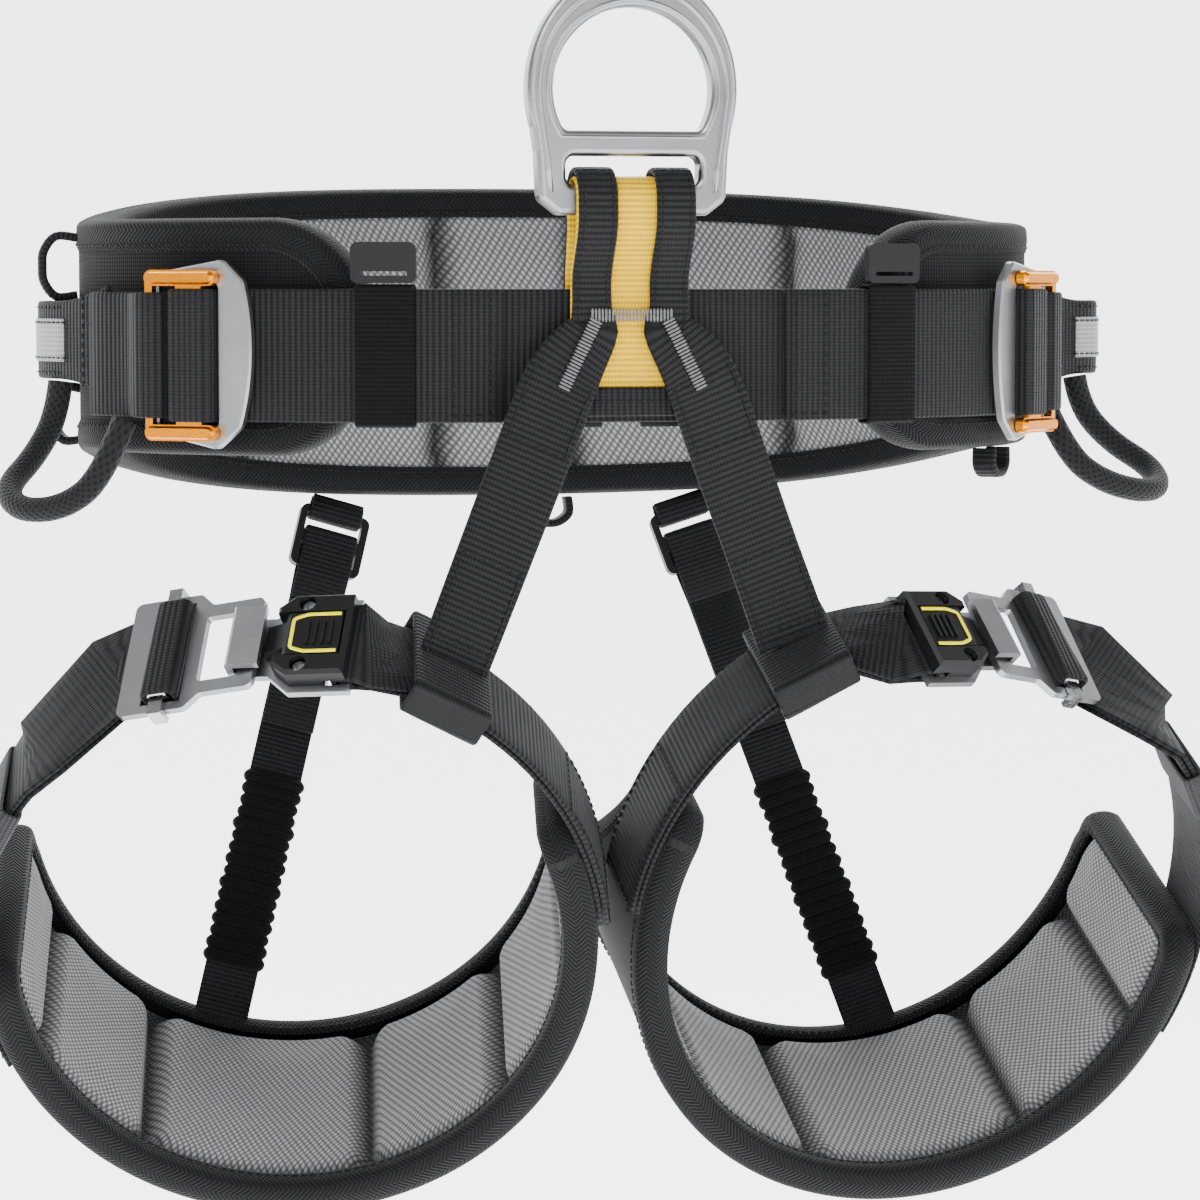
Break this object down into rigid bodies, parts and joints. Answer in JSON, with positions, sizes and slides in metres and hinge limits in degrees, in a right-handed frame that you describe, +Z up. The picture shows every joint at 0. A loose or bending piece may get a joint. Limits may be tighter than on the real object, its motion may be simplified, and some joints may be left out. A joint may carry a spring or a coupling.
{
  "type": "tree climbing saddle",
  "caption": "Arborist sit harness: padded waist belt, front D-ring on a webbing bridge, padded leg loops with latch buckles, risers and gear loops.",
  "frame": {"origin": "centre of the waist opening, halfway up the belt webbing", "axes": "+Z up; the wearer faces -Y; left and right are as seen from the front, left at -X"},
  "size_m": [0.4415, 0.2551, 0.4337],
  "materials": {
    "pad_fabric": "heavy woven nylon",
    "mesh_foam": "grey spacer mesh over foam",
    "binding_tape": "herringbone tape",
    "black_webbing": "ribbed polyester webbing",
    "yellow_webbing": "ribbed yellow webbing",
    "elastic": "knitted elastic",
    "reflective_tape": "reflective tape",
    "hook_plastic": "moulded grey plastic",
    "buckle_metal": "satin",
    "slide_metal": "orange anodised",
    "ring_alloy": "satin forged",
    "steel": "satin",
    "black_plastic": "moulded black nylon",
    "cord_sheath": "black sheathed cord"
  },
  "bodies": {
    "harness": {"accessory_loops": "black_webbing", "back_webbing": "black_webbing", "belt_folds": "black_webbing", "belt_keepers": "elastic", "belt_tails": "black_webbing", "buckle_plate_left": "buckle_metal", "buckle_plate_right": "buckle_metal", "front_belt": "black_webbing", "front_strap_left": "black_webbing", "front_strap_right": "black_webbing", "gear_loop_left": "cord_sheath", "gear_loop_right": "cord_sheath", "keeper_hooks": "hook_plastic", "reflective_bands": "reflective_tape", "riser_anchors": "black_webbing", "side_straps": "black_webbing", "side_tabs": "black_webbing", "ventral_backing": "yellow_webbing", "waist_binding": "binding_tape", "waist_foam": "mesh_foam", "waist_shell": "pad_fabric"},
    "ring": {"ventral_ring": "ring_alloy"},
    "leg_left": {"leg_binding_left": "binding_tape", "leg_foam_left": "mesh_foam", "leg_shell_left": "pad_fabric", "leg_keeper_left": "elastic", "leg_strap_inner_left": "black_webbing", "leg_strap_outer_left": "black_webbing", "strap_wrap_left": "black_webbing", "latch_base_left": "steel", "latch_housing_left": "black_plastic", "latch_pin_left": "steel", "latch_screws_left": "steel", "latch_spring_left": "steel", "strap_frame_left": "steel", "riser_webbing_left": "black_webbing", "riser_elastic_left": "elastic"},
    "lever_left": {"latch_lever_left": "black_plastic"},
    "slider_left": {"slider_bar_left": "steel"},
    "belt_slide_left": {"buckle_slide_left": "slide_metal"},
    "lock_left": {"ladder_lock_left": "black_plastic"},
    "leg_right": {"leg_binding_right": "binding_tape", "leg_foam_right": "mesh_foam", "leg_shell_right": "pad_fabric", "leg_keeper_right": "elastic", "leg_strap_inner_right": "black_webbing", "leg_strap_outer_right": "black_webbing", "strap_wrap_right": "black_webbing", "latch_base_right": "steel", "latch_housing_right": "black_plastic", "latch_pin_right": "steel", "latch_screws_right": "steel", "latch_spring_right": "steel", "strap_frame_right": "steel", "riser_webbing_right": "black_webbing", "riser_elastic_right": "elastic"},
    "lever_right": {"latch_lever_right": "black_plastic"},
    "slider_right": {"slider_bar_right": "steel"},
    "belt_slide_right": {"buckle_slide_right": "slide_metal"},
    "lock_right": {"ladder_lock_right": "black_plastic"}
  },
  "joints": [
    {"name": "ring_hinge", "type": "hinge", "parent": "harness", "child": "ring", "pos_m": [-0.002, -0.113, 0.0515], "axis": [1, 0, 0], "range_deg": [-40, 105]},
    {"name": "leg_swing_left", "type": "hinge", "parent": "harness", "child": "leg_left", "pos_m": [-0.06599, -0.12916, -0.10045], "axis": [1, 0, 0], "range_deg": [-8, 8], "stiffness_Nm_per_rad": 2, "deforming": ["front_strap_left", "riser_webbing_left", "riser_elastic_left"]},
    {"name": "lever_press_left", "type": "hinge", "parent": "leg_left", "child": "lever_left", "pos_m": [-0.11833, -0.12907, -0.0913], "axis": [0.2525, 0.5849, 0.7708], "range_deg": [0, 10], "stiffness_Nm_per_rad": 0.05, "springref_deg": -5.73, "deforming": ["latch_spring_left"]},
    {"name": "slider_shift_left", "type": "slide", "parent": "leg_left", "child": "slider_left", "axis": [0.8128, -0.5569, 0.1706], "range_m": [0, 0.0012]},
    {"name": "belt_slide_shift_left", "type": "slide", "parent": "harness", "child": "belt_slide_left", "axis": [0.7985, -0.602, 0], "range_m": [0, 0.0012]},
    {"name": "lock_hinge_left", "type": "hinge", "parent": "harness", "child": "lock_left", "pos_m": [-0.06617, 0.09092, -0.06332], "axis": [0.9599, 0, -0.2802], "range_deg": [-8, 8], "deforming": ["riser_webbing_left"]},
    {"name": "leg_swing_right", "type": "hinge", "parent": "harness", "child": "leg_right", "pos_m": [0.05609, -0.1108, -0.09742], "axis": [1, 0, 0], "range_deg": [-8, 8], "stiffness_Nm_per_rad": 2, "deforming": ["front_strap_right", "riser_webbing_right", "riser_elastic_right"]},
    {"name": "lever_press_right", "type": "hinge", "parent": "leg_right", "child": "lever_right", "pos_m": [0.1118, -0.11727, -0.09429], "axis": [0.2396, -0.591, -0.7702], "range_deg": [0, 10], "stiffness_Nm_per_rad": 0.05, "springref_deg": -5.73, "deforming": ["latch_spring_right"]},
    {"name": "slider_shift_right", "type": "slide", "parent": "leg_right", "child": "slider_right", "axis": [-0.8716, -0.4558, 0.1803], "range_m": [0, 0.0012]},
    {"name": "belt_slide_shift_right", "type": "slide", "parent": "harness", "child": "belt_slide_right", "axis": [-0.7085, -0.7058, 0], "range_m": [0, 0.0012]},
    {"name": "lock_hinge_right", "type": "hinge", "parent": "harness", "child": "lock_right", "pos_m": [0.06897, 0.0908, -0.06334], "axis": [0.9542, 0, 0.2992], "range_deg": [-8, 8], "deforming": ["riser_webbing_right"]}
  ]
}
